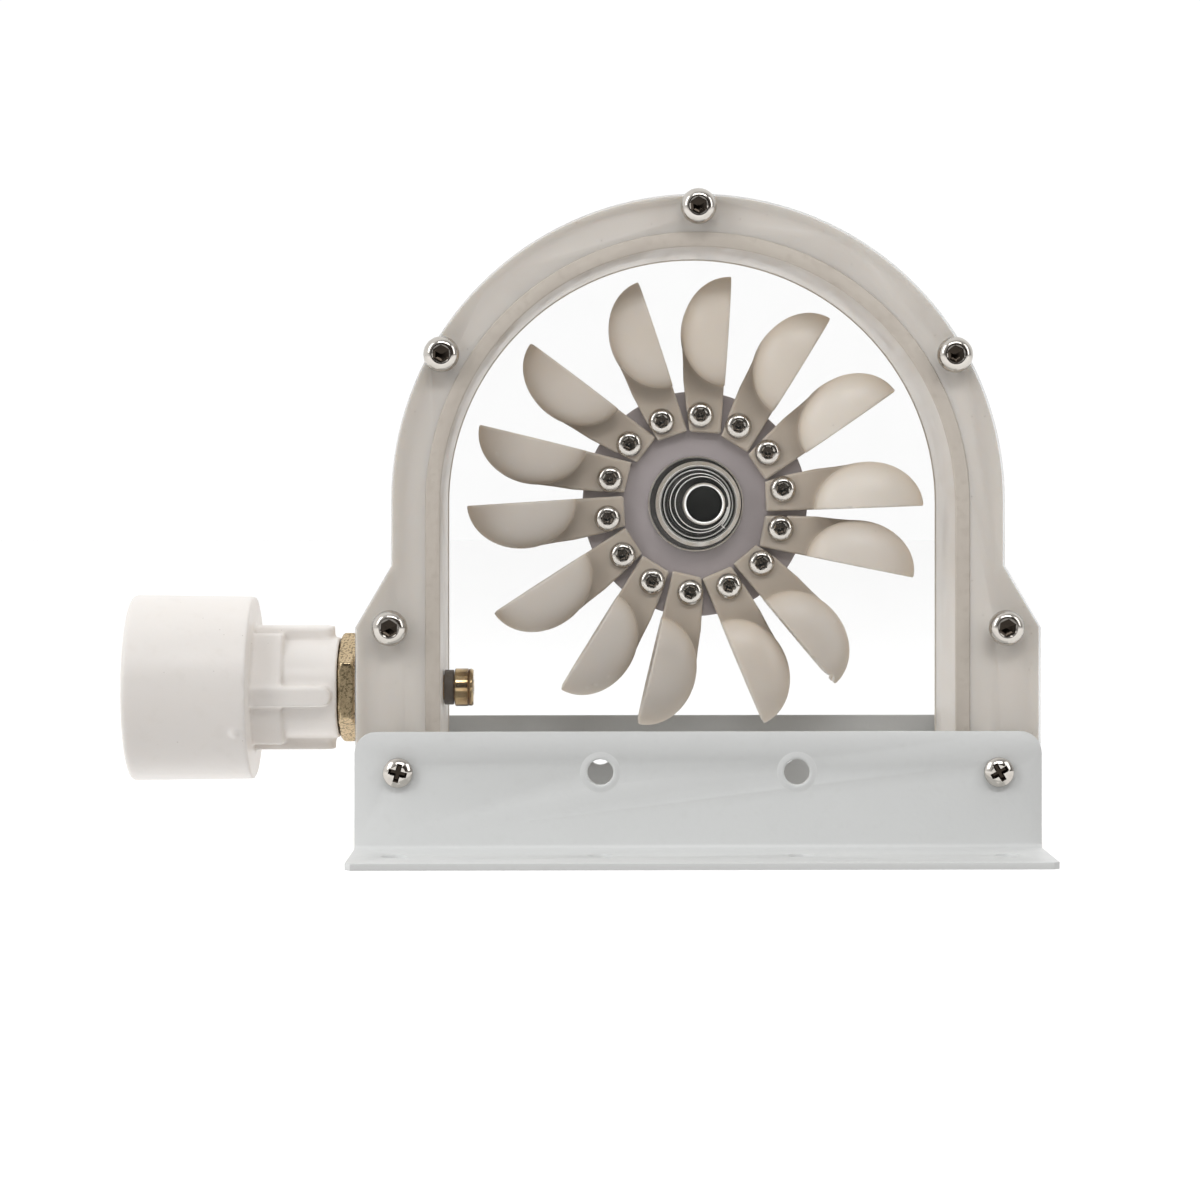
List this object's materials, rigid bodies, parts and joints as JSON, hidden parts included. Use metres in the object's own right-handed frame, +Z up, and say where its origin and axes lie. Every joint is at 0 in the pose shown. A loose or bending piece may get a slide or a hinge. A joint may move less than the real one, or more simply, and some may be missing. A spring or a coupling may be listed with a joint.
{
  "type": "pelton turbine unit",
  "caption": "Bench-size Pelton turbine: arched nylon housing with clear panels, a bolted bucket wheel on a shaft, a pipe adapter with brass nozzle, and angle brackets.",
  "frame": {"origin": "centre of the footprint on the bench, under the middle of the overall box", "axes": "+X along the jet, from the pipe socket to the far leg; +Y from the viewing window to the generator side; +Z up"},
  "size_m": [0.269, 0.139, 0.1946],
  "materials": {
    "housing_nylon": "satin translucent white nylon",
    "bucket_nylon": "satin cream nylon",
    "clear_acrylic": "clear acrylic sheet",
    "gasket_silicone": "matt silicone strip",
    "machined_aluminium": "turned",
    "stainless": "polished stainless",
    "white_powder_coat": "white powder coat",
    "pipe_pvc": "moulded white PVC",
    "brass": "cast brass",
    "white_washer": "white plastic washer",
    "grey_washer": "hard grey washer",
    "grey_disc": "grey rigid sheet",
    "seal_rubber": "black seal rubber",
    "shaft_steel": "turned steel"
  },
  "bodies": {
    "housing": {"housing_frame": "housing_nylon", "front_window": "clear_acrylic", "rear_window": "clear_acrylic", "front_gasket": "gasket_silicone", "rear_gasket": "gasket_silicone", "bearing_housing": "machined_aluminium", "housing_bolt_1": "stainless", "housing_bolt_2": "stainless", "housing_bolt_3": "stainless", "housing_bolt_4": "stainless", "housing_bolt_5": "stainless", "front_bracket": "white_powder_coat", "rear_bracket": "white_powder_coat", "front_bracket_screw_left": "stainless", "front_bracket_screw_right": "stainless", "rear_bracket_screw_left": "stainless", "rear_bracket_screw_right": "stainless", "pipe_adapter": "pipe_pvc", "brass_fitting": "brass", "inlet_washer": "white_washer", "nozzle_collar": "grey_washer", "nozzle_tip": "brass"},
    "rotor": {"rotor_disc": "grey_disc", "hub_washer": "stainless", "seal_cup": "stainless", "seal_bellows": "seal_rubber", "seal_sleeve": "stainless", "shaft": "shaft_steel", "bucket_01": "bucket_nylon", "bucket_02": "bucket_nylon", "bucket_03": "bucket_nylon", "bucket_04": "bucket_nylon", "bucket_05": "bucket_nylon", "bucket_06": "bucket_nylon", "bucket_07": "bucket_nylon", "bucket_08": "bucket_nylon", "bucket_09": "bucket_nylon", "bucket_10": "bucket_nylon", "bucket_11": "bucket_nylon", "bucket_12": "bucket_nylon", "bucket_13": "bucket_nylon", "bucket_14": "bucket_nylon"}
  },
  "joints": [
    {"name": "wheel_spin", "type": "hinge", "parent": "housing", "child": "rotor", "pos_m": [0.0345, 0, 0.102], "axis": [0, -1, 0], "continuous": true}
  ]
}
